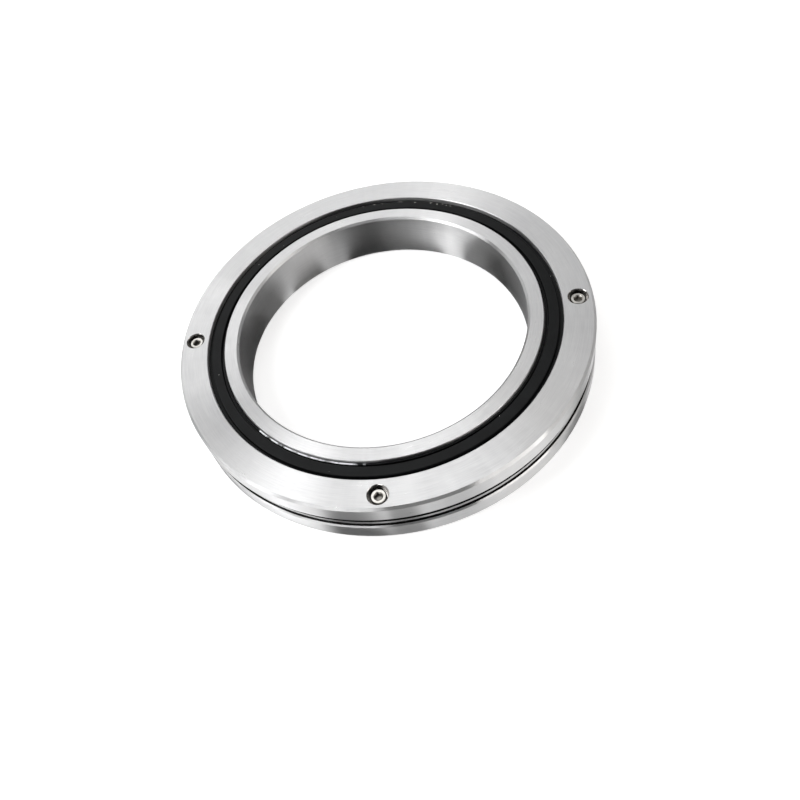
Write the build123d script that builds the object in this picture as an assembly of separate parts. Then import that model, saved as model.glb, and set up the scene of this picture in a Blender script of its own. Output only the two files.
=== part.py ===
from build123d import *
from math import cos, floor, pi, radians, sin, sqrt, tan
import os

# A crossed roller bearing: a one-piece inner ring turns inside a two-piece outer ring on rollers
# that lean in and out by turns. Its axis is Z, and the origin is its middle, on the roller plane.
# All sizes are in millimetres. Heights are measured from the middle plane, and faces from the rim.

# Sizes across, from the bore outwards: they add up to a 140 bore and a 200 outside
bore_radius = 70.0
inner_wall = 4.65  # steel between the bore and the bottom of the inner raceway
roller_dia = 10.0
roller_clear = 0.2  # play between a roller and a raceway face
raceway_wall = 1.39  # steel between the bottom of the outer raceway and the screw holes
screw_dia = 4.0
screw_hole_clear = 0.25  # play all round the shank in the upper half
outside_wall = 7.0  # from the screw circle to the outside

# Sizes along the axis, from the middle outwards: they add up to a 25 width
land_gap = 1.2  # the gap between the two rings beside the raceways
land_height = 1.846  # the straight land between a raceway and the seal pocket
pocket_depth = 3.9  # the seal pocket, down from the face

# Edges and grooves of the rings
rim_chamfer = 1.1
bore_chamfer = 1.0
edge_break = 0.25  # the small bevel on all other edges
relief_half_width = 0.7  # the grinding relief at the bottom of each raceway
relief_depth = 0.2  # how far the relief of the inner ring lies under the bottom of its raceway
groove_half_width = 3.0  # the oil groove round the outside, over the joint of the two halves
groove_depth = 1.4
groove_corner = 0.4
groove_chamfer = 0.65
split_break = 0.4  # the bevel that makes the joint of the two halves a dark line in the groove

# Oil holes, drilled along the joint from the groove into the raceway
oil_hole_dia = 3.0
oil_hole_angles = (45.0, 135.0)

# Rollers and the spacers between them
roller_end_clear = 0.6  # how much shorter than its own diameter a roller is
roller_end_round = 0.4
spacer_wall = 0.75  # the thinnest place of a spacer, between two crossed rollers
spacer_play = 0.2  # between a spacer and the rollers
spacer_side_clear = 0.35  # between a spacer and the raceways
spacer_length = 5.0  # along the ring

# Seals: a flat face with a lip at the inner ring and a flange in a groove of the outer ring
inner_face_width = 7.2  # from the bore to the inner wall of the seal pocket
pocket_wall = 2.6  # steel between the seal pocket and the counterbores
seal_sink = 0.95  # the seal's flat face, below the rings' faces
seal_flange = 1.2  # height of the flange on the pocket's floor
seal_hook = 0.7  # how far the flange reaches into its groove
hook_clear = 0.1
flange_step = 1.9  # from the pocket's wall to the flat face
flange_slope = 0.3
seal_corner = 0.4
lip_clear = 0.3  # running gap between the lip and the inner ring
lip_bead = 0.42  # radius of the rounded lip
lip_sink = 1.25  # top of the lip, below the rings' faces
lip_web = 0.9  # height of the web that carries the lip
lip_gutter = 2.0  # from the inner wall of the pocket to the flat face
web_lift = 0.7  # the hollow under the web
floor_lift = 0.4  # how much lower the inner ring's pocket floor is

# Fixing screws that hold the halves together: where they sit and how far the hexagon is turned
screws = {"front": (-90.0, 12.0), "left": (180.0, 41.0), "right": (0.0, 27.0)}
head_dia = 7.0
head_height = 4.0
head_chamfer = 0.5
head_sink = 1.5  # top of the head, below the face
counterbore_dia = 9.0
hexagon = 3.0  # across the flats
hexagon_depth = 2.0
hexagon_bevel = 0.35
thread_pitch = 0.7
thread_depth = 0.43
thread_engaged = 9.0  # screwed into the lower half
thread_clear = 0.05
tap_runout = 0.8  # the tapped hole goes this much deeper
drill_point = 118.0  # degrees

# Places across
roller_radius = roller_dia / 2
raceway_reach = (roller_radius + roller_clear) * sqrt(2)
inner_apex = bore_radius + inner_wall
pitch_radius = inner_apex + raceway_reach
outer_apex = pitch_radius + raceway_reach
inner_land = pitch_radius - land_gap / 2
outer_land = pitch_radius + land_gap / 2
shank_radius = screw_dia / 2
screw_hole_radius = shank_radius + screw_hole_clear
screw_circle = outer_apex + raceway_wall + screw_hole_radius
outer_radius = screw_circle + outside_wall
groove_floor = outer_radius - groove_depth
pocket_inner = bore_radius + inner_face_width
pocket_outer = screw_circle - counterbore_dia / 2 - pocket_wall

# Places along the axis
land_start = raceway_reach - land_gap / 2
pocket_floor = land_start + land_height
face = pocket_floor + pocket_depth
inner_floor = pocket_floor - floor_lift
flange_top = pocket_floor + seal_flange
head_seat = face - head_sink - head_height
screw_tip = -thread_engaged
tap_end = screw_tip - tap_runout

# Rollers: as many as fit, an even number, so that every other one leans the other way
roller_length = roller_dia - roller_end_clear
roller_pitch_least = roller_dia + spacer_wall + 2 * spacer_play
roller_count = 2 * floor(pi * pitch_radius / roller_pitch_least)
roller_step = 360 / roller_count


def turned(corners):
    # A ring turned about the bearing's axis from its section: each corner has a radius from the
    # axis, a height and a rounding.
    points = [(radius, height) for radius, height, rounding in corners]
    roundings = [rounding for radius, height, rounding in corners]
    outline = FilletPolyline(*points, radius=roundings, close=True)
    return revolve(Plane.XZ * make_face(outline), Axis.Z)


def upright(radius, low, high):
    # A round bar along the axis between two heights.
    return Pos(0, 0, low) * Cylinder(radius, high - low, align=(Align.CENTER, Align.CENTER, Align.MIN))


def at_screw(angle):
    return Rot(0, 0, angle) * Pos(screw_circle, 0, 0)


def make_inner_ring():
    corners = [
        (bore_radius + bore_chamfer, face, 0),
        (bore_radius, face - bore_chamfer, 0),
        (bore_radius, bore_chamfer - face, 0),
        (bore_radius + bore_chamfer, -face, 0),
        (pocket_inner - edge_break, -face, 0),
        (pocket_inner, edge_break - face, 0),
        (pocket_inner, -inner_floor, 0),
        (inner_land, -inner_floor, 0),
        (inner_land, -land_start, 0),
        (inner_apex + relief_half_width, -relief_half_width, 0),
        (inner_apex - relief_depth, -relief_half_width, 0),
        (inner_apex - relief_depth, relief_half_width, 0),
        (inner_apex + relief_half_width, relief_half_width, 0),
        (inner_land, land_start, 0),
        (inner_land, inner_floor, 0),
        (pocket_inner, inner_floor, 0),
        (pocket_inner, face - edge_break, 0),
        (pocket_inner - edge_break, face, 0),
    ]
    return turned(corners)


def make_outer_half():
    # The upper half as turned, with the oil holes in its joint face. The lower half is its mirror.
    hook_wall = pocket_outer + seal_hook + hook_clear
    corners = [
        (outer_apex, 0, 0),
        (groove_floor - split_break, 0, 0),
        (groove_floor, split_break, 0),
        (groove_floor, groove_half_width, groove_corner),
        (outer_radius - groove_chamfer, groove_half_width, 0),
        (outer_radius, groove_half_width + groove_chamfer, 0),
        (outer_radius, face - rim_chamfer, 0),
        (outer_radius - rim_chamfer, face, 0),
        (pocket_outer + edge_break, face, 0),
        (pocket_outer, face - edge_break, 0),
        (pocket_outer, flange_top + hook_clear, 0),
        (hook_wall, flange_top + hook_clear, 0),
        (hook_wall, pocket_floor, 0),
        (outer_land, pocket_floor, 0),
        (outer_land, land_start, 0),
        (outer_apex - relief_half_width, relief_half_width, 0),
        (outer_apex, relief_half_width, 0),
    ]
    half = turned(corners)
    drill = Rot(0, 90, 0) * upright(oil_hole_dia / 2, pitch_radius, outer_radius)
    for angle in oil_hole_angles:
        half -= Rot(0, 0, angle) * drill
    return half


def make_outer_top():
    # The upper half has a stepped hole for each screw, with its head below the face.
    counterbore_radius = counterbore_dia / 2
    hole = upright(screw_hole_radius, -edge_break, face)
    hole += upright(counterbore_radius, head_seat, face)
    bevel = Cone(counterbore_radius, counterbore_radius + edge_break, edge_break)
    hole += Pos(0, 0, face - edge_break / 2) * bevel
    half = make_outer_half()
    for angle, turn in screws.values():
        half -= at_screw(angle) * hole
    return half


def make_outer_bottom():
    # The lower half has a blind tapped hole for each screw.
    tap_radius = shank_radius + thread_clear
    point_height = tap_radius / tan(radians(drill_point / 2))
    hole = upright(tap_radius, tap_end, edge_break)
    hole += Pos(0, 0, tap_end - point_height / 2) * Cone(0, tap_radius, point_height)
    half = mirror(make_outer_half(), Plane.XY)
    for angle, turn in screws.values():
        half -= at_screw(angle) * hole
    return half


def make_seal():
    # The upper seal. Its flange is held in the outer ring, and its lip runs on the inner ring.
    hook = pocket_outer + seal_hook
    flat_top = face - seal_sink
    flat_outer = pocket_outer - flange_step
    flat_inner = pocket_inner + lip_gutter
    lip_tip = pocket_inner + lip_clear
    lip_top = face - lip_sink
    web_top = pocket_floor + web_lift + lip_web
    seat_edge = outer_land + edge_break
    corners = [
        (hook, pocket_floor, 0),
        (hook, flange_top, 0),
        (flat_outer + flange_slope, flange_top, 0),
        (flat_outer, flat_top, seal_corner),
        (flat_inner, flat_top, seal_corner),
        (flat_inner - flange_slope, web_top, 0),
        (lip_tip + 2 * lip_bead, web_top, 0),
        (lip_tip + 2 * lip_bead, lip_top, lip_bead * 0.95),
        (lip_tip, lip_top, lip_bead * 0.95),
        (lip_tip, web_top - edge_break, 0),
        (lip_tip + lip_web, pocket_floor + web_lift, 0),
        (seat_edge, pocket_floor + web_lift, 0),
        (seat_edge, pocket_floor, 0),
    ]
    return turned(corners)


def make_screw(hexagon_turn):
    # A socket head screw, with its thread drawn as rings of the right pitch and depth.
    head_radius = head_dia / 2
    head_top = head_seat + head_height
    turns = floor(thread_engaged / thread_pitch)
    corners = [
        (0, screw_tip, 0),
        (shank_radius - thread_depth, screw_tip, 0),
    ]
    for turn in range(turns):
        height = screw_tip + (turn + 0.5) * thread_pitch
        corners.append((shank_radius, height, 0))
        corners.append((shank_radius - thread_depth, height + thread_pitch / 2, 0))
    corners += [
        (shank_radius, screw_tip + (turns + 0.5) * thread_pitch, 0),
        (shank_radius, head_seat, 0),
        (head_radius, head_seat, 0),
        (head_radius, head_top - head_chamfer, 0),
        (head_radius - head_chamfer, head_top, 0),
        (0, head_top, 0),
    ]
    screw = turned(corners)
    socket_outline = RegularPolygon(hexagon / 2, 6, major_radius=False)
    socket = Pos(0, 0, head_top - hexagon_depth) * extrude(socket_outline, hexagon_depth)
    mouth_radius = hexagon / sqrt(3) + hexagon_bevel
    bevel = Cone(mouth_radius - 2 * hexagon_bevel, mouth_radius, 2 * hexagon_bevel)
    socket += Pos(0, 0, head_top - hexagon_bevel) * bevel
    return screw - Rot(0, 0, hexagon_turn) * socket


def make_roller():
    roller = Cylinder(roller_radius, roller_length)
    return fillet(roller.edges().filter_by(GeomType.CIRCLE), roller_end_round)


def lean(number):
    # Every other roller leans outwards at the top, and the ones between lean inwards.
    return 45 if number % 2 == 0 else -45


def at_roller(number):
    return Rot(0, 0, number * roller_step) * Pos(pitch_radius, 0, 0) * Rot(0, lean(number), 0)


def make_spacer(number):
    # A block between this roller and the next, hollowed to sit on both of them.
    side = 2 * (roller_radius + roller_clear - spacer_side_clear)
    middle = Rot(0, 0, (number + 0.5) * roller_step) * Pos(pitch_radius, 0, 0)
    block = middle * Rot(0, 45, 0) * Box(side, spacer_length, side)
    seat = Cylinder(roller_radius + spacer_play, 2 * roller_dia)
    return block - at_roller(number) * seat - at_roller(number + 1) * seat


def save(name, shape):
    shape.label = name
    export_step(shape, f"parts/{name}.step")


seal = make_seal()
roller = make_roller()
spacers = [make_spacer(number) for number in range(roller_count)]

save("inner_ring", make_inner_ring())
save("outer_ring_top", make_outer_top())
save("outer_ring_bottom", make_outer_bottom())
save("seal_top", seal)
save("seal_bottom", mirror(seal, Plane.XY))
for place, (angle, hexagon_turn) in screws.items():
    save(f"fixing_screw_{place}", at_screw(angle) * make_screw(hexagon_turn))
save("roller_spacers", Compound(children=spacers))
for number in range(roller_count):
    save(f"roller_{number + 1:02d}", at_roller(number) * roller)

print(f"outside {2 * outer_radius:.3f}, width {2 * face:.3f}, roller circle {2 * pitch_radius:.3f}")
print(f"{roller_count} rollers of {roller_dia} by {roller_length}, screw circle {2 * screw_circle:.3f}")
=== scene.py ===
import bpy
import math
from mathutils import Euler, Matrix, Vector


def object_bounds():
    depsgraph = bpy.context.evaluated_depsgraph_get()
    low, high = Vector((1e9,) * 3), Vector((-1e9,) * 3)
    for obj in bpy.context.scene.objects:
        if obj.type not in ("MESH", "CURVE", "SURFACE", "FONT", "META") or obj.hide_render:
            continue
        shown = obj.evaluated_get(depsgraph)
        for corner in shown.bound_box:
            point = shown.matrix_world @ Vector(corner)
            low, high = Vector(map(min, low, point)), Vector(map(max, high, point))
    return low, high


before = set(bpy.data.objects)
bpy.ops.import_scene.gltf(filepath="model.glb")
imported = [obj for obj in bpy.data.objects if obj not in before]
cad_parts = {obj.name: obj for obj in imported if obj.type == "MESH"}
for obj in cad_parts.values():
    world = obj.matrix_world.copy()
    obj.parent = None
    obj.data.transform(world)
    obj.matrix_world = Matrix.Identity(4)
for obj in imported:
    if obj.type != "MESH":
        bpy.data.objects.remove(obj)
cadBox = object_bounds()
print("frame loaded:", len(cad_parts), "pieces")

millimetre = 0.001  # everything in the scene is in metres


# small helpers that every piece uses

def hexToLinear(code):
    channels = [int(code[i:i + 2], 16) / 255 for i in (1, 3, 5)]
    linear = [c / 12.92 if c <= 0.04045 else ((c + 0.055) / 1.055) ** 2.4 for c in channels]
    return (*linear, 1.0)


def addNode(tree, kind, links=None, **settings):
    node = tree.nodes.new(kind)
    for name, value in settings.items():
        setattr(node, name, value)
    for socket, value in (links or {}).items():
        if isinstance(value, bpy.types.NodeSocket):
            tree.links.new(value, node.inputs[socket])
        else:
            node.inputs[socket].default_value = value
    return node


def perMillimetre(size):
    return 1 / (size * millimetre)  # texture scale for a pattern of that size, with coordinates in metres


def newMaterial(name):
    material = bpy.data.materials.new(name)
    material.use_nodes = True
    material.node_tree.nodes.clear()
    return material, material.node_tree


def onSphere(azimuth, elevation, distance):
    # azimuth 0 is the front, where the camera stands, and 90 the right
    side, up = math.radians(azimuth), math.radians(elevation)
    return Vector((
        distance * math.sin(side) * math.cos(up),
        -distance * math.cos(side) * math.cos(up),
        distance * math.sin(up),
    ))


def paint(material, *names):
    for name in names:
        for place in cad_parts[name].material_slots:
            place.material = material


# camera, at the photograph's angle: the bearing leans to the left there, so the camera rolls

cameraLook = {
    "azimuth": 12.12,       # degrees round from the front screw
    "elevation": 49.89,     # degrees above the bearing's middle plane
    "distance": 0.3825,     # metres from the middle of the bearing
    "aim": (-0.0172, -0.0054, 0.0),     # the point looked at, in metres
    "roll": -18.98,         # degrees
    "lens": 34.93,          # millimetres, on a 36 mm sensor
    "shift": (0.0645, -0.0649),     # parts of the picture's width
}

cameraData = bpy.data.cameras.new("camera")
camera = bpy.data.objects.new("camera", cameraData)
bpy.context.collection.objects.link(camera)
cameraData.sensor_width = 36
cameraData.lens = cameraLook["lens"]
cameraData.shift_x, cameraData.shift_y = cameraLook["shift"]
cameraData.clip_start = 0.01
camera.location = onSphere(cameraLook["azimuth"], cameraLook["elevation"], cameraLook["distance"])
lineOfSight = Vector(cameraLook["aim"]) - camera.location
level = lineOfSight.to_track_quat("-Z", "Y")
camera.rotation_mode = "QUATERNION"
camera.rotation_quaternion = level @ Euler((0, 0, math.radians(cameraLook["roll"]))).to_quaternion()
bpy.context.scene.camera = camera
print("camera placed")


# studio: a pale floor under soft boxes. A lamp or a card of glow 1 is as bright as white. Azimuths are
# as for onSphere, and a lamp's width and height are in degrees, as the bearing sees them

studio = {
    "floorSize": 12.0,            # metres across
    "floorColour": "#e6e6e6",
    "floorOwn": 0.50,             # white of its own, where the lamps give the rest and the shadow takes it
    "farOwn": 0.95,               # and where the lamps no longer reach
    "farStart": 0.35,             # metres from the middle
    "farEnd": 1.4,
    "worldColour": "#ffffff",
    "worldGlow": 0.10,            # 1 is white
    "lampDistance": 0.80,         # metres
    "cardEdge": 0.3,              # part of a card's width and length over which it fades out
    "cardLift": 0.02,             # millimetres from one card up to the next
}

lamps = {
    # name: azimuth, elevation, width, height, glow, colour
    "leftBox": (297, 44, 13, 44, 4.7, "#ffffff"),
    "leftFill": (276, 45, 18, 44, 3.6, "#ffffff"),
    "leftLow": (296, 12, 30, 24, 0.35, "#ffffff"),
    "topBox": (195, 70, 28, 34, 2.2, "#ffffff"),
    "backBox": (195, 38, 34, 26, 1.4, "#ffffff"),
    "backLeft": (230, 38, 28, 26, 1.2, "#ffffff"),
    "backLow": (240, 14, 40, 22, 0.5, "#ffffff"),
    "backRight": (150, 42, 34, 34, 0.5, "#ffffff"),
    "rightBox": (80, 40, 20, 40, 1.5, "#fffcf8"),
    "rightFill": (106, 40, 28, 40, 0.7, "#fffcf8"),
    "rightLow": (49, 12, 34, 24, 3.6, "#fffcf9"),
    "frontBox": (12, 78, 14, 14, 1.6, "#ffffff"),
    "frontLeft": (334, 26, 32, 12, 4.4, "#ffffff"),
}

cards = {
    # strips on the floor that show in reflections only, with soft sides. Each starts near the foot of a
    # wall and runs away from it. One of no length is a plain disc from there to the middle.
    # name: radius there in millimetres, azimuths of its two corners there, heading, length in
    # millimetres, glow
    "boreFlag": (69.9, 0, 360, 0, 0, 0.005),
    "boreRightEnd": (69.9, 90, 100, 193, 40, 0.4),
    "boreBarEdge": (69.9, 128, 144, 272, 50, 0.12),
    "boreBar": (69.9, 141, 154, 288, 44, 1.3),
    "boreBarFar": (61, 147.5, 160, 288, 24, 2.6),
    "boreLeftBand": (69.9, 196, 212, 34, 44, 0.6),
    "boreLeftPatch": (58.0, 199, 227, 62, 34, 0.35),
    "boreLeftBar": (69.9, 226, 237, 84, 32, 0.9),
    "boreLeftBarFar": (60, 219, 231.5, 84, 34, 2.7),
    "boreLeftEnd": (69.9, 232, 249, 98, 44, 0.15),
    "wallLeftFlag": (100.3, 300, 334, 240, 44, 0.03),
    "wallBar": (103.0, 328, 345, 284, 44, 2.3),
    "wallFlag": (100.3, 342, 366, 324, 60, 0.05),
    "wallHalf": (100.3, 359, 373, 356, 60, 0.45),
    "wallPale": (100.3, 368, 394, 33, 60, 1.0),
    "wallRightFlag": (100.3, 47, 66, 119, 60, 0.15),
}


def addLamp(name, azimuth, elevation, width, height, glow, colour):
    reach = studio["lampDistance"]
    wide, high = (2 * reach * math.tan(math.radians(angle / 2)) for angle in (width, height))
    data = bpy.data.lights.new(name, "AREA")
    data.shape = "RECTANGLE"
    data.size, data.size_y = wide, high
    data.color = hexToLinear(colour)[:3]
    data.energy = glow * math.pi * wide * high
    lamp = bpy.data.objects.new(name, data)
    bpy.context.collection.objects.link(lamp)
    lamp.location = onSphere(azimuth, elevation, reach)
    lamp.rotation_mode = "QUATERNION"
    lamp.rotation_quaternion = (-lamp.location).to_track_quat("-Z", "Y")
    lamp.visible_camera = False


def addCard(name, radius, start, end, heading, length, glow):
    across, along = 24, 8   # faces each way, enough for a smooth fade
    soft = studio["cardEdge"]
    away = onSphere(heading, 0, length * millimetre)
    height = cadBox[0].z + studio["cardLift"] * (1 + list(cards).index(name)) * millimetre
    points, fades = [], []
    for j in range(along + 1):
        for i in range(across + 1):
            foot = onSphere(start + (end - start) * i / across, 0, radius * millimetre)
            place = foot + away * j / along if length else foot * (1 - j / along)
            points.append((place.x, place.y, height))
            side = min(i, across - i) / across if length else 1
            reach = min(side / soft, (along - j) / along / soft if length else 1, 1)
            fades.append(reach * reach * (3 - 2 * reach))   # eased at both ends
    row = across + 1
    starts = [j * row + i for j in range(along) for i in range(across)]
    faces = [(first, first + 1, first + row + 1, first + row) for first in starts]
    mesh = bpy.data.meshes.new(name)
    mesh.from_pydata(points, [], faces)
    mesh.attributes.new("fade", "FLOAT", "POINT").data.foreach_set("value", fades)
    card = bpy.data.objects.new(name, mesh)
    bpy.context.collection.objects.link(card)
    material, tree = newMaterial(name)
    fade = addNode(tree, "ShaderNodeAttribute", attribute_name="fade")
    clear = addNode(tree, "ShaderNodeBsdfTransparent")
    own = addNode(tree, "ShaderNodeEmission", {"Color": (1, 1, 1, 1), "Strength": glow})
    both = addNode(tree, "ShaderNodeMixShader",
                   {0: fade.outputs["Fac"], 1: clear.outputs[0], 2: own.outputs[0]})
    addNode(tree, "ShaderNodeOutputMaterial", {"Surface": both.outputs[0]})
    material.cycles.emission_sampling = "NONE"
    mesh.materials.append(material)
    card.visible_camera = card.visible_diffuse = False
    card.visible_shadow = card.visible_transmission = False


def makeFloor():
    half = studio["floorSize"] / 2
    height = cadBox[0].z
    mesh = bpy.data.meshes.new("floor")
    corners = [(-half, -half, height), (half, -half, height), (half, half, height), (-half, half, height)]
    mesh.from_pydata(corners, [], [(0, 1, 2, 3)])
    floor = bpy.data.objects.new("floor", mesh)
    bpy.context.collection.objects.link(floor)
    material, tree = newMaterial("pale_floor")

    # its own white shows to the camera and in reflections, and lights nothing
    path = addNode(tree, "ShaderNodeLightPath")
    seen = addNode(tree, "ShaderNodeMath",
                   {0: path.outputs["Is Camera Ray"], 1: path.outputs["Is Glossy Ray"]}, operation="MAXIMUM")
    seen = addNode(tree, "ShaderNodeMath", {0: seen.outputs[0], 1: path.outputs["Is Transmission Ray"]},
                   operation="MAXIMUM")
    spot = addNode(tree, "ShaderNodeTexCoord")
    reach = addNode(tree, "ShaderNodeVectorMath", {0: spot.outputs["Object"]}, operation="LENGTH")
    white = addNode(tree, "ShaderNodeMapRange",
                    {0: reach.outputs["Value"], 1: studio["farStart"], 2: studio["farEnd"],
                     3: studio["floorOwn"], 4: studio["farOwn"]})
    glow = addNode(tree, "ShaderNodeMath", {0: seen.outputs[0], 1: white.outputs[0]}, operation="MULTIPLY")
    own = addNode(tree, "ShaderNodeEmission", {"Color": (1, 1, 1, 1), "Strength": glow.outputs[0]})
    lit = addNode(tree, "ShaderNodeBsdfDiffuse", {"Color": hexToLinear(studio["floorColour"])})
    both = addNode(tree, "ShaderNodeAddShader", {0: lit.outputs[0], 1: own.outputs[0]})
    addNode(tree, "ShaderNodeOutputMaterial", {"Surface": both.outputs[0]})
    material.cycles.emission_sampling = "NONE"
    mesh.materials.append(material)


def makeWorld():
    world = bpy.data.worlds.new("studio")
    bpy.context.scene.world = world
    world.use_nodes = True
    tree = world.node_tree
    tree.nodes.clear()
    path = addNode(tree, "ShaderNodeLightPath")     # white to the camera, dim to all else
    white = addNode(tree, "ShaderNodeBackground",
                    {"Color": hexToLinear(studio["worldColour"]), "Strength": 1.0})
    dim = addNode(tree, "ShaderNodeBackground",
                  {"Color": hexToLinear(studio["worldColour"]), "Strength": studio["worldGlow"]})
    both = addNode(tree, "ShaderNodeMixShader",
                   {0: path.outputs["Is Camera Ray"], 1: dim.outputs[0], 2: white.outputs[0]})
    addNode(tree, "ShaderNodeOutputWorld", {"Surface": both.outputs[0]})


makeFloor()
makeWorld()
for lampName, settings in lamps.items():
    addLamp(lampName, *settings)
for cardName, settings in cards.items():
    addCard(cardName, *settings)
bpy.context.scene.view_settings.view_transform = "Standard"
print("studio lit:", len(lamps), "lamps and", len(cards), "cards")


# ground bearing steel (hardened chrome steel): fine lines run round the ring, so reflections stretch
# across them into soft bars. The unground groove is dull, with painted shade on its walls and corners and
# a blackened joint, and the cutter leaves the counterbores smooth and bright

groundSteel = {
    "colour": "#cecece",
    "shade": "#bfbfc0",         # between the grinding lines
    "oiledAndShaded": "#1d1c1c",         # painted shade on the groove's walls and corners, and the blackened joint in it
    "drilled": "#c0bebc",       # in the counterbores
    "roughness": 0.31,
    "roughSpread": 0.04,        # how much the lines change it
    "oiledRoughness": 0.42,
    "drilledRoughness": 0.16,
    "anisotropy": 1.0,
    "line": 0.4,                # millimetres across a grinding line, drawn coarser than the real 0.05
    "lineLength": 12.0,         # millimetres along a line
    "chatter": 3.2,             # millimetres between the faint bars that the wheel leaves across the lines
    "patch": 26.0,              # millimetres, the slow change of tone over a face
    "meanRadius": 85.0,         # millimetres from the axis, where the lengths above are true
    "shares": (0.62, 0.14, 0.24),   # of the lines, the chatter and the patches in the finish
    "finishRange": (0.34, 0.66),    # their sum, from shade to full colour
    "lineDepth": 0.004,         # millimetres
    "lineRelief": 0.6,          # share of that depth that shows
    "grooveWall": (98.4, 99.33),    # radii of the groove's walls in millimetres, with the corners
    "grooveHalf": (2.35, 3.3),      # millimetres from the middle plane to the corners and the walls
    "joint": (98.0, 98.72),         # radii of the joint of the two halves, in the groove's floor
    "jointHalf": 0.95,              # millimetres to each side that are blackened along it
    "screwCircle": 93.0,        # millimetres from the axis to the screws
    "screwSeat": 4.72,          # millimetres, radius of a counterbore with its bevel
}


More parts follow.
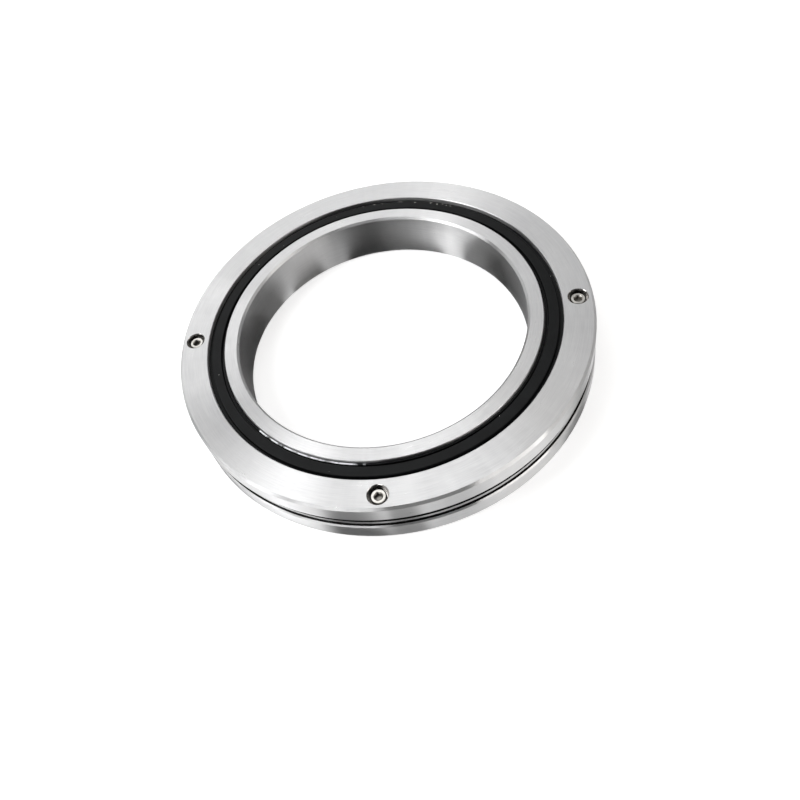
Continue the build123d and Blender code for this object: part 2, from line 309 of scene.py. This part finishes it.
def makeGroundSteel():
    look = groundSteel
    material, tree = newMaterial("ground_bearing_steel")
    spot = addNode(tree, "ShaderNodeTexCoord")
    place = spot.outputs["Object"]
    flat = addNode(tree, "ShaderNodeVectorMath", {0: place, 1: (1, 1, 0)}, operation="MULTIPLY")
    radius = addNode(tree, "ShaderNodeVectorMath", {0: flat.outputs[0]}, operation="LENGTH")
    outward = addNode(tree, "ShaderNodeVectorMath", {0: flat.outputs[0]}, operation="NORMALIZE")
    height = addNode(tree, "ShaderNodeSeparateXYZ", {0: place})

    # a line's place: across it by radius and height, along it by the angle round the ring
    across = addNode(tree, "ShaderNodeMath", {0: radius.outputs["Value"], 1: height.outputs["Z"]},
                     operation="ADD")
    across = addNode(tree, "ShaderNodeMath", {0: across.outputs[0], 1: perMillimetre(look["line"])},
                     operation="MULTIPLY")
    along = addNode(tree, "ShaderNodeVectorMath",
                    {0: outward.outputs[0], "Scale": look["meanRadius"] / look["lineLength"]},
                    operation="SCALE")
    along = addNode(tree, "ShaderNodeSeparateXYZ", {0: along.outputs[0]})
    lineSpot = addNode(tree, "ShaderNodeCombineXYZ",
                       {0: along.outputs[0], 1: along.outputs[1], 2: across.outputs[0]})
    lines = addNode(tree, "ShaderNodeTexNoise",
                    {"Vector": lineSpot.outputs[0], "Scale": 1.0, "Detail": 4.0, "Roughness": 0.65})

    chatterSpot = addNode(tree, "ShaderNodeVectorMath",
                          {0: outward.outputs[0], "Scale": look["meanRadius"] / look["chatter"]},
                          operation="SCALE")
    chatter = addNode(tree, "ShaderNodeTexNoise",
                      {"Vector": chatterSpot.outputs[0], "Scale": 1.0, "Detail": 2.0, "Roughness": 0.5})
    patches = addNode(tree, "ShaderNodeTexNoise",
                      {"Vector": place, "Scale": perMillimetre(look["patch"]), "Detail": 2.0,
                       "Roughness": 0.5})

    # one value for the finish: mostly the lines, a little of the chatter and the patches
    finish = 0.0
    for part, share in zip((lines, chatter, patches), look["shares"]):
        finish = addNode(tree, "ShaderNodeMath", {0: part.outputs[0], 1: share, 2: finish},
                         operation="MULTIPLY_ADD").outputs[0]
    low, high = look["finishRange"]
    finish = addNode(tree, "ShaderNodeMapRange", {0: finish, 1: low, 2: high}).outputs[0]

    # the groove's walls and corners, which get painted shade, the joint of the two halves in it, which is
    # blackened, and the unground counterbores
    away = addNode(tree, "ShaderNodeMath", {0: height.outputs["Z"]}, operation="ABSOLUTE").outputs[0]

    def between(value, low, high):
        over = addNode(tree, "ShaderNodeMath", {0: value, 1: low * millimetre}, operation="GREATER_THAN")
        under = addNode(tree, "ShaderNodeMath", {0: value, 1: high * millimetre}, operation="LESS_THAN")
        both = addNode(tree, "ShaderNodeMath", {0: over.outputs[0], 1: under.outputs[0]},
                       operation="MULTIPLY")
        return both.outputs[0]

    wall = addNode(tree, "ShaderNodeMath",
                   {0: between(radius.outputs["Value"], *look["grooveWall"]),
                    1: between(away, *look["grooveHalf"])}, operation="MULTIPLY")
    nearJoint = addNode(tree, "ShaderNodeMath", {0: away, 1: look["jointHalf"] * millimetre},
                        operation="LESS_THAN")
    joint = addNode(tree, "ShaderNodeMath",
                    {0: between(radius.outputs["Value"], *look["joint"]), 1: nearJoint.outputs[0]},
                    operation="MULTIPLY")
    groove = addNode(tree, "ShaderNodeMath", {0: wall.outputs[0], 1: joint.outputs[0]},
                     operation="MAXIMUM").outputs[0]
    centre = look["screwCircle"] * millimetre
    seat = 0.0
    for x, y in ((0, -centre), (-centre, 0), (centre, 0)):
        reach = addNode(tree, "ShaderNodeVectorMath", {0: flat.outputs[0], 1: (x, y, 0)},
                        operation="DISTANCE")
        inside = addNode(tree, "ShaderNodeMath",
                         {0: reach.outputs["Value"], 1: look["screwSeat"] * millimetre},
                         operation="LESS_THAN")
        seat = addNode(tree, "ShaderNodeMath", {0: seat, 1: inside.outputs[0]},
                       operation="MAXIMUM").outputs[0]

    colour = addNode(tree, "ShaderNodeMix",
                     {0: finish, 6: hexToLinear(look["shade"]), 7: hexToLinear(look["colour"])},
                     data_type="RGBA")
    # painted shade in the groove, and the blackened joint
    colour = addNode(tree, "ShaderNodeMix", {0: groove, 6: colour.outputs[2], 7: hexToLinear(look["oiledAndShaded"])},
                     data_type="RGBA")
    colour = addNode(tree, "ShaderNodeMix", {0: seat, 6: colour.outputs[2], 7: hexToLinear(look["drilled"])},
                     data_type="RGBA")
    rough = addNode(tree, "ShaderNodeMapRange",
                    {0: finish, 3: look["roughness"] + look["roughSpread"],
                     4: look["roughness"] - look["roughSpread"]})
    rough = addNode(tree, "ShaderNodeMix", {0: groove, 2: rough.outputs[0], 3: look["oiledRoughness"]},
                    data_type="FLOAT")
    rough = addNode(tree, "ShaderNodeMix", {0: seat, 2: rough.outputs[0], 3: look["drilledRoughness"]},
                    data_type="FLOAT")
    relief = addNode(tree, "ShaderNodeBump",
                     {"Height": lines.outputs[0], "Strength": look["lineRelief"],
                      "Distance": look["lineDepth"] * millimetre})
    around = addNode(tree, "ShaderNodeTangent", direction_type="RADIAL", axis="Z")
    steel = addNode(tree, "ShaderNodeBsdfPrincipled", {
        "Base Color": colour.outputs[2],
        "Metallic": 1.0,
        "Roughness": rough.outputs[0],
        "Anisotropic": look["anisotropy"],
        "Anisotropic Rotation": 0.25,   # a quarter turn, to stretch reflections across the lines
        "Tangent": around.outputs[0],
        "Normal": relief.outputs[0],
    })
    addNode(tree, "ShaderNodeOutputMaterial", {"Surface": steel.outputs[0]})
    return material


# turned and heat-treated alloy steel of the socket screws: bright rings round each screw's own axis,
# a knurled head side, and painted shade inside the hexagon and on the head's rounded edge

screwSteel = {
    "colour": "#d2d0cc",
    "shade": "#b5b2ac",
    "socket": "#7d7a76",        # painted shade inside the hexagon
    "edge": "#4a4846",          # painted shade on the rounded edge of the head
    "socketShadeRadius": (1.85, 2.0),    # millimetres from the screw's axis, where the hexagon's painted shade ends
    "shadedEdgeRadius": (3.05, 3.25),     # and where the edge's painted shade begins
    "roughness": (0.36, 0.26),  # from shade to full colour
    "anisotropy": 0.5,
    "headWidth": 7.0,           # millimetres
    "ring": 0.3,                # millimetres between turned rings, drawn coarser than the real 0.1
    "wear": 1.6,                # millimetres, patches of handling wear
    "wearRange": (0.7, 1.3),    # rings and wear together, from shade to full colour
    "teeth": 36,                # knurling round the head
    "toothDepth": 0.12,         # millimetres
    "knurlRadius": 3.45,        # millimetres, just inside the head's upright side
}


def makeScrewSteel():
    look = screwSteel
    material, tree = newMaterial("turned_screw_steel")
    spot = addNode(tree, "ShaderNodeTexCoord")

    # millimetres from the screw's own axis: Generated runs from 0 to 1 over the width of the head
    local = addNode(tree, "ShaderNodeVectorMath", {0: spot.outputs["Generated"], 1: (0.5, 0.5, 0)},
                    operation="SUBTRACT")
    local = addNode(tree, "ShaderNodeVectorMath",
                    {0: local.outputs[0], 1: (look["headWidth"], look["headWidth"], 0)},
                    operation="MULTIPLY")
    reach = addNode(tree, "ShaderNodeVectorMath", {0: local.outputs[0]}, operation="LENGTH")
    turns = addNode(tree, "ShaderNodeMath", {0: reach.outputs["Value"], 1: 1 / look["ring"]},
                    operation="MULTIPLY")
    rings = addNode(tree, "ShaderNodeTexNoise", {"W": turns.outputs[0], "Scale": 1.0, "Detail": 2.0},
                    noise_dimensions="1D")
    wear = addNode(tree, "ShaderNodeTexNoise",
                   {"Vector": spot.outputs["Object"], "Scale": perMillimetre(look["wear"]), "Detail": 3.0})
    mixed = addNode(tree, "ShaderNodeMath", {0: rings.outputs[0], 1: wear.outputs[0]}, operation="ADD")
    low, high = look["wearRange"]
    mixed = addNode(tree, "ShaderNodeMapRange", {0: mixed.outputs[0], 1: low, 2: high})
    colour = addNode(tree, "ShaderNodeMix",
                     {0: mixed.outputs[0], 6: hexToLinear(look["shade"]), 7: hexToLinear(look["colour"])},
                     data_type="RGBA")
    # painted shade inside the hexagon
    low, high = look["socketShadeRadius"]
    inside = addNode(tree, "ShaderNodeMapRange",
                     {0: reach.outputs["Value"], 1: low, 2: high, 3: 1.0, 4: 0.0})
    colour = addNode(tree, "ShaderNodeMix",
                     {0: inside.outputs[0], 6: colour.outputs[2], 7: hexToLinear(look["socket"])},
                     data_type="RGBA")
    # painted shade on the head's rounded edge
    low, high = look["shadedEdgeRadius"]
    edgeShade = addNode(tree, "ShaderNodeMapRange", {0: reach.outputs["Value"], 1: low, 2: high})
    colour = addNode(tree, "ShaderNodeMix",
                     {0: edgeShade.outputs[0], 6: colour.outputs[2], 7: hexToLinear(look["edge"])},
                     data_type="RGBA")
    low, high = look["roughness"]
    rough = addNode(tree, "ShaderNodeMapRange", {0: mixed.outputs[0], 3: low, 4: high})

    # knurling, only on the upright side of the head
    sides = addNode(tree, "ShaderNodeSeparateXYZ", {0: local.outputs[0]})
    angle = addNode(tree, "ShaderNodeMath", {0: sides.outputs[1], 1: sides.outputs[0]}, operation="ARCTAN2")
    teeth = addNode(tree, "ShaderNodeMath", {0: angle.outputs[0], 1: look["teeth"]}, operation="MULTIPLY")
    teeth = addNode(tree, "ShaderNodeMath", {0: teeth.outputs[0]}, operation="SINE")
    rim = addNode(tree, "ShaderNodeMath", {0: reach.outputs["Value"], 1: look["knurlRadius"]},
                  operation="GREATER_THAN")
    teeth = addNode(tree, "ShaderNodeMath", {0: teeth.outputs[0], 1: rim.outputs[0]}, operation="MULTIPLY")
    relief = addNode(tree, "ShaderNodeBump",
                     {"Height": teeth.outputs[0], "Strength": 1.0,
                      "Distance": look["toothDepth"] / 2 * millimetre})
    around = addNode(tree, "ShaderNodeTangent", direction_type="RADIAL", axis="Z")
    steel = addNode(tree, "ShaderNodeBsdfPrincipled", {
        "Base Color": colour.outputs[2],
        "Metallic": 1.0,
        "Roughness": rough.outputs[0],
        "Anisotropic": look["anisotropy"],
        "Anisotropic Rotation": 0.25,   # a quarter turn, to stretch reflections across the lines
        "Tangent": around.outputs[0],
        "Normal": relief.outputs[0],
    })
    addNode(tree, "ShaderNodeOutputMaterial", {"Surface": steel.outputs[0]})
    return material


# nitrile rubber, moulded: carbon black makes it deep black, the tool's fine grain gives it a low
# sheen, the lip is smoother where it was trimmed, dust and a little grease cling to it, and glints on the
# grease are painted

rubberLook = {
    "colour": "#08090a",
    "bloom": "#111314",         # greyer where the rubber has bloomed
    "dustAndGlints": "#c9c8c4",          # and the painted glints of the grease beads
    "paintedGlint": "#eef0f4",          # painted glint along the lip
    "roughness": 0.46,
    "lipRoughness": 0.20,
    "lipRadius": (78.6, 79.4),  # millimetres from the axis, from the lip's roughness to the flat's
    "grain": 0.35,              # millimetres, drawn coarser than the real 0.1
    "grainDepth": 0.02,         # millimetres
    "grainRelief": 0.5,         # share of that depth that shows
    "grainRough": 0.05,         # how much the grain changes the roughness
    "bloomPatch": 9.0,          # millimetres
    "bloomRange": (0.35, 0.75),
    "speckGap": 2.6,            # millimetres between places where dust may cling
    "speck": 0.17,              # millimetres, radius
    "speckLevel": 0.86,         # the part of those places that stays clean
    "beadGap": 1.3,             # millimetres between the painted glints of grease beads along the seal's edges
    "bead": 0.34,               # millimetres, largest radius
    "glintBeadRows": (
        # inner and outer radius in millimetres, direction from the axis in degrees from the right, and
        # degrees to each side of it
        (83.0, 83.9, 79, 18),
        (77.6, 78.3, 235, 8),
    ),
    "glintRow": (77.6, 78.3, 246, 20),   # the same for the painted glint
    "glintPatch": 5.0,           # millimetres
    "glintRange": (0.38, 0.52),  # from a break in the painted glint to the whole glint
}


def makeRubber():
    look = rubberLook
    material, tree = newMaterial("moulded_nitrile_rubber")
    spot = addNode(tree, "ShaderNodeTexCoord")
    place = spot.outputs["Object"]
    grain = addNode(tree, "ShaderNodeTexNoise",
                    {"Vector": place, "Scale": perMillimetre(look["grain"]), "Detail": 2.0})
    bloom = addNode(tree, "ShaderNodeTexNoise",
                    {"Vector": place, "Scale": perMillimetre(look["bloomPatch"]), "Detail": 4.0})
    low, high = look["bloomRange"]
    bloom = addNode(tree, "ShaderNodeMapRange", {0: bloom.outputs[0], 1: low, 2: high})
    colour = addNode(tree, "ShaderNodeMix",
                     {0: bloom.outputs[0], 6: hexToLinear(look["colour"]), 7: hexToLinear(look["bloom"])},
                     data_type="RGBA")
    cells = addNode(tree, "ShaderNodeTexVoronoi",
                    {"Vector": place, "Scale": perMillimetre(look["speckGap"])}, feature="F1")
    near = addNode(tree, "ShaderNodeMath",
                   {0: cells.outputs["Distance"], 1: look["speck"] / look["speckGap"]},
                   operation="LESS_THAN")
    chance = addNode(tree, "ShaderNodeSeparateColor", {0: cells.outputs["Color"]})
    chosen = addNode(tree, "ShaderNodeMath", {0: chance.outputs[0], 1: look["speckLevel"]},
                     operation="GREATER_THAN")
    dustAndGlints = addNode(tree, "ShaderNodeMath", {0: near.outputs[0], 1: chosen.outputs[0]}, operation="MULTIPLY")
    flat = addNode(tree, "ShaderNodeVectorMath", {0: place, 1: (1, 1, 0)}, operation="MULTIPLY")
    radius = addNode(tree, "ShaderNodeVectorMath", {0: flat.outputs[0]}, operation="LENGTH")

    # painted glints where the lip and the edge hold back grease here and there: whole round beads, and a
    # broken glint along the lip
    def inRow(spot, low, high, towards, spread):
        side = math.radians(towards)
        level = addNode(tree, "ShaderNodeVectorMath", {0: spot, 1: (1, 1, 0)}, operation="MULTIPLY")
        reach = addNode(tree, "ShaderNodeVectorMath", {0: level.outputs[0]}, operation="LENGTH")
        outward = addNode(tree, "ShaderNodeVectorMath", {0: level.outputs[0]}, operation="NORMALIZE")
        along = addNode(tree, "ShaderNodeVectorMath",
                        {0: outward.outputs[0], 1: (math.cos(side), math.sin(side), 0)},
                        operation="DOT_PRODUCT")
        row = addNode(tree, "ShaderNodeMath",
                      {0: along.outputs["Value"], 1: math.cos(math.radians(spread))},
                      operation="GREATER_THAN")
        for edge, kind in ((low, "GREATER_THAN"), (high, "LESS_THAN")):
            part = addNode(tree, "ShaderNodeMath", {0: reach.outputs["Value"], 1: edge * millimetre},
                           operation=kind)
            row = addNode(tree, "ShaderNodeMath", {0: row.outputs[0], 1: part.outputs[0]},
                          operation="MULTIPLY")
        return row.outputs[0]

    beads = addNode(tree, "ShaderNodeTexVoronoi",
                    {"Vector": flat.outputs[0], "Scale": perMillimetre(look["beadGap"])}, feature="F1")
    bead = addNode(tree, "ShaderNodeMath",
                   {0: beads.outputs["Distance"], 1: look["bead"] / look["beadGap"]}, operation="LESS_THAN")
    # painted glints of grease beads, in rows along the seal's edges
    for row in look["glintBeadRows"]:
        beadGlint = addNode(tree, "ShaderNodeMath",
                       {0: inRow(beads.outputs["Position"], *row), 1: bead.outputs[0]}, operation="MULTIPLY")
        dustAndGlints = addNode(tree, "ShaderNodeMath", {0: dustAndGlints.outputs[0], 1: beadGlint.outputs[0]}, operation="MAXIMUM")
    # a painted glint along the lip, broken up by noise
    paintedGlint = addNode(tree, "ShaderNodeTexNoise",
                   {"Vector": place, "Scale": perMillimetre(look["glintPatch"]), "Detail": 3.0})
    low, high = look["glintRange"]
    paintedGlint = addNode(tree, "ShaderNodeMapRange", {0: paintedGlint.outputs[0], 1: low, 2: high})
    paintedGlint = addNode(tree, "ShaderNodeMath", {0: inRow(place, *look["glintRow"]), 1: paintedGlint.outputs[0]},
                   operation="MULTIPLY")
    # the dust and the painted bead glints, then the painted glint along the lip
    colour = addNode(tree, "ShaderNodeMix",
                     {0: dustAndGlints.outputs[0], 6: colour.outputs[2], 7: hexToLinear(look["dustAndGlints"])},
                     data_type="RGBA")
    colour = addNode(tree, "ShaderNodeMix",
                     {0: paintedGlint.outputs[0], 6: colour.outputs[2], 7: hexToLinear(look["paintedGlint"])},
                     data_type="RGBA")
    low, high = look["lipRadius"]
    rough = addNode(tree, "ShaderNodeMapRange",
                    {0: radius.outputs["Value"], 1: low * millimetre, 2: high * millimetre,
                     3: look["lipRoughness"], 4: look["roughness"]})
    uneven = addNode(tree, "ShaderNodeMapRange",
                     {0: grain.outputs[0], 3: -look["grainRough"], 4: look["grainRough"]})
    rough = addNode(tree, "ShaderNodeMath", {0: rough.outputs[0], 1: uneven.outputs[0]}, operation="ADD")
    rough = addNode(tree, "ShaderNodeMath", {0: rough.outputs[0], 1: dustAndGlints.outputs[0]}, operation="MAXIMUM")
    relief = addNode(tree, "ShaderNodeBump",
                     {"Height": grain.outputs[0], "Strength": look["grainRelief"],
                      "Distance": look["grainDepth"] * millimetre})
    rubber = addNode(tree, "ShaderNodeBsdfPrincipled", {
        "Base Color": colour.outputs[2],
        "Roughness": rough.outputs[0],
        "Specular IOR Level": 0.15,     # the grain's pits swallow most of the sheen
        "Normal": relief.outputs[0],
    })
    addNode(tree, "ShaderNodeOutputMaterial", {"Surface": rubber.outputs[0]})
    return material


# rollers, hardened chrome steel, ground and lapped: near mirror, with a fine mottle from the lapping
# and patches that grease dulls

rollerSteel = {
    "colour": "#d4d4d4",
    "shade": "#c2c3c4",
    "roughness": 0.14,
    "greased": 0.26,            # roughness where grease dulls it
    "anisotropy": 0.3,
    "mottle": 0.25,             # millimetres, drawn coarser than the real lapping marks
    "smear": 7.0,               # millimetres, patches of grease
    "smearRange": (0.3, 0.7),
}


def makeRollerSteel():
    look = rollerSteel
    material, tree = newMaterial("lapped_roller_steel")
    spot = addNode(tree, "ShaderNodeTexCoord")
    mottle = addNode(tree, "ShaderNodeTexNoise",
                     {"Vector": spot.outputs["Object"], "Scale": perMillimetre(look["mottle"]),
                      "Detail": 2.0})
    smear = addNode(tree, "ShaderNodeTexNoise",
                    {"Vector": spot.outputs["Object"], "Scale": perMillimetre(look["smear"]), "Detail": 3.0})
    colour = addNode(tree, "ShaderNodeMix",
                     {0: mottle.outputs[0], 6: hexToLinear(look["shade"]), 7: hexToLinear(look["colour"])},
                     data_type="RGBA")
    low, high = look["smearRange"]
    rough = addNode(tree, "ShaderNodeMapRange",
                    {0: smear.outputs[0], 1: low, 2: high, 3: look["roughness"], 4: look["greased"]})
    steel = addNode(tree, "ShaderNodeBsdfPrincipled", {
        "Base Color": colour.outputs[2],
        "Metallic": 1.0,
        "Roughness": rough.outputs[0],
        "Anisotropic": look["anisotropy"],
    })
    addNode(tree, "ShaderNodeOutputMaterial", {"Surface": steel.outputs[0]})
    return material


# spacers between the rollers, natural acetal, moulded: milky cream with a soft sheen and mottling

spacerLook = {
    "colour": "#e2d8bf",
    "shade": "#cfc3a6",
    "roughness": (0.36, 0.48),  # in the grain's pits and on its crests
    "mottle": 2.5,              # millimetres
    "grain": 0.3,               # millimetres, from the mould's spark-eroded walls
    "grainDepth": 0.02,         # millimetres
    "grainRelief": 0.4,         # share of that depth that shows
}


def makeSpacerPlastic():
    look = spacerLook
    material, tree = newMaterial("moulded_acetal")
    spot = addNode(tree, "ShaderNodeTexCoord")
    mottle = addNode(tree, "ShaderNodeTexNoise",
                     {"Vector": spot.outputs["Object"], "Scale": perMillimetre(look["mottle"]),
                      "Detail": 3.0})
    grain = addNode(tree, "ShaderNodeTexNoise",
                    {"Vector": spot.outputs["Object"], "Scale": perMillimetre(look["grain"]), "Detail": 2.0})
    colour = addNode(tree, "ShaderNodeMix",
                     {0: mottle.outputs[0], 6: hexToLinear(look["shade"]), 7: hexToLinear(look["colour"])},
                     data_type="RGBA")
    low, high = look["roughness"]
    rough = addNode(tree, "ShaderNodeMapRange", {0: grain.outputs[0], 3: low, 4: high})
    relief = addNode(tree, "ShaderNodeBump",
                     {"Height": grain.outputs[0], "Strength": look["grainRelief"],
                      "Distance": look["grainDepth"] * millimetre})
    plastic = addNode(tree, "ShaderNodeBsdfPrincipled", {
        "Base Color": colour.outputs[2],
        "Roughness": rough.outputs[0],
        "Normal": relief.outputs[0],
    })
    addNode(tree, "ShaderNodeOutputMaterial", {"Surface": plastic.outputs[0]})
    return material


def namesWith(start):
    return [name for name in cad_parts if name.startswith(start)]


paint(makeGroundSteel(), "inner_ring", "outer_ring_top", "outer_ring_bottom")
paint(makeScrewSteel(), *namesWith("fixing_screw"))
paint(makeRubber(), "seal_top", "seal_bottom")
paint(makeSpacerPlastic(), "roller_spacers")
paint(makeRollerSteel(), *[name for name in namesWith("roller_") if name != "roller_spacers"])
print("materials made")
